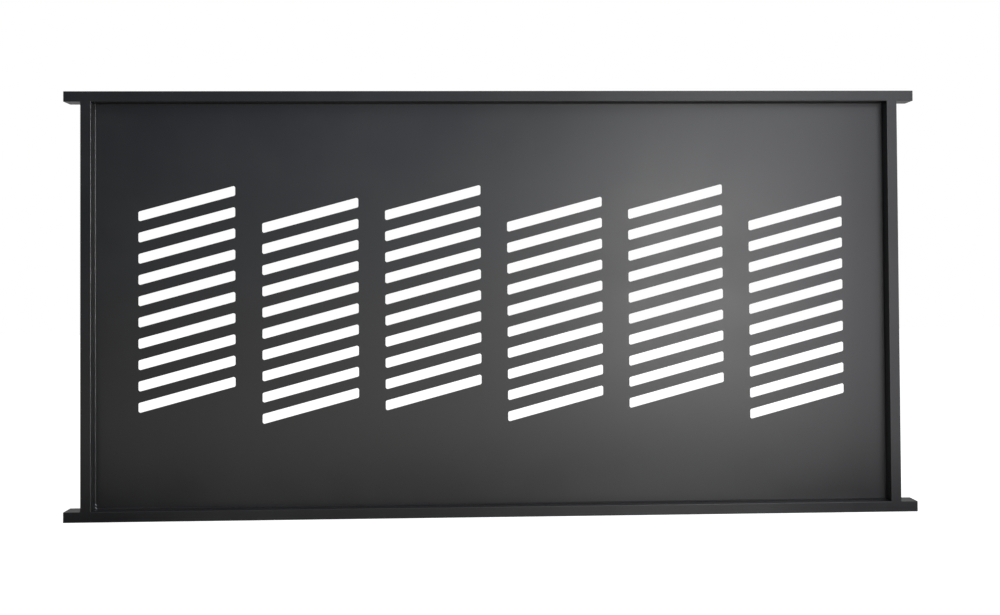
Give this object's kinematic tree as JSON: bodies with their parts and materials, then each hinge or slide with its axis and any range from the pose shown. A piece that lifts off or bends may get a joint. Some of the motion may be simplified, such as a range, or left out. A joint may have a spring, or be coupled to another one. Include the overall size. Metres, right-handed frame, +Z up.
{
  "type": "slotted fence panel",
  "caption": "Powder-coated aluminium fence panel: tube frame with projecting rail ends round a recessed sheet with staggered columns of slanted slots.",
  "frame": {"origin": "middle of the bottom rail's underside, half way along and half way through its depth", "axes": "+X to the right along the rails, as seen from the front; +Z up; the front face looks towards -Y"},
  "size_m": [1.8, 0.04, 0.9],
  "materials": {
    "powder_coat": "satin",
    "sealant": "satin",
    "cap_plastic": "satin"
  },
  "bodies": {
    "root": {"top_rail": "powder_coat", "bottom_rail": "powder_coat", "left_stile": "powder_coat", "right_stile": "powder_coat", "slotted_sheet": "powder_coat", "top_retaining_angle": "powder_coat", "bottom_retaining_angle": "powder_coat", "left_retaining_angle": "powder_coat", "right_retaining_angle": "powder_coat", "top_left_corner_weld": "powder_coat", "top_right_corner_weld": "powder_coat", "bottom_left_corner_weld": "powder_coat", "bottom_right_corner_weld": "powder_coat", "top_sealing_bead": "sealant", "bottom_sealing_bead": "sealant", "left_sealing_bead": "sealant", "right_sealing_bead": "sealant", "top_left_end_cap": "cap_plastic", "top_right_end_cap": "cap_plastic", "bottom_left_end_cap": "cap_plastic", "bottom_right_end_cap": "cap_plastic"}
  },
  "joints": []
}
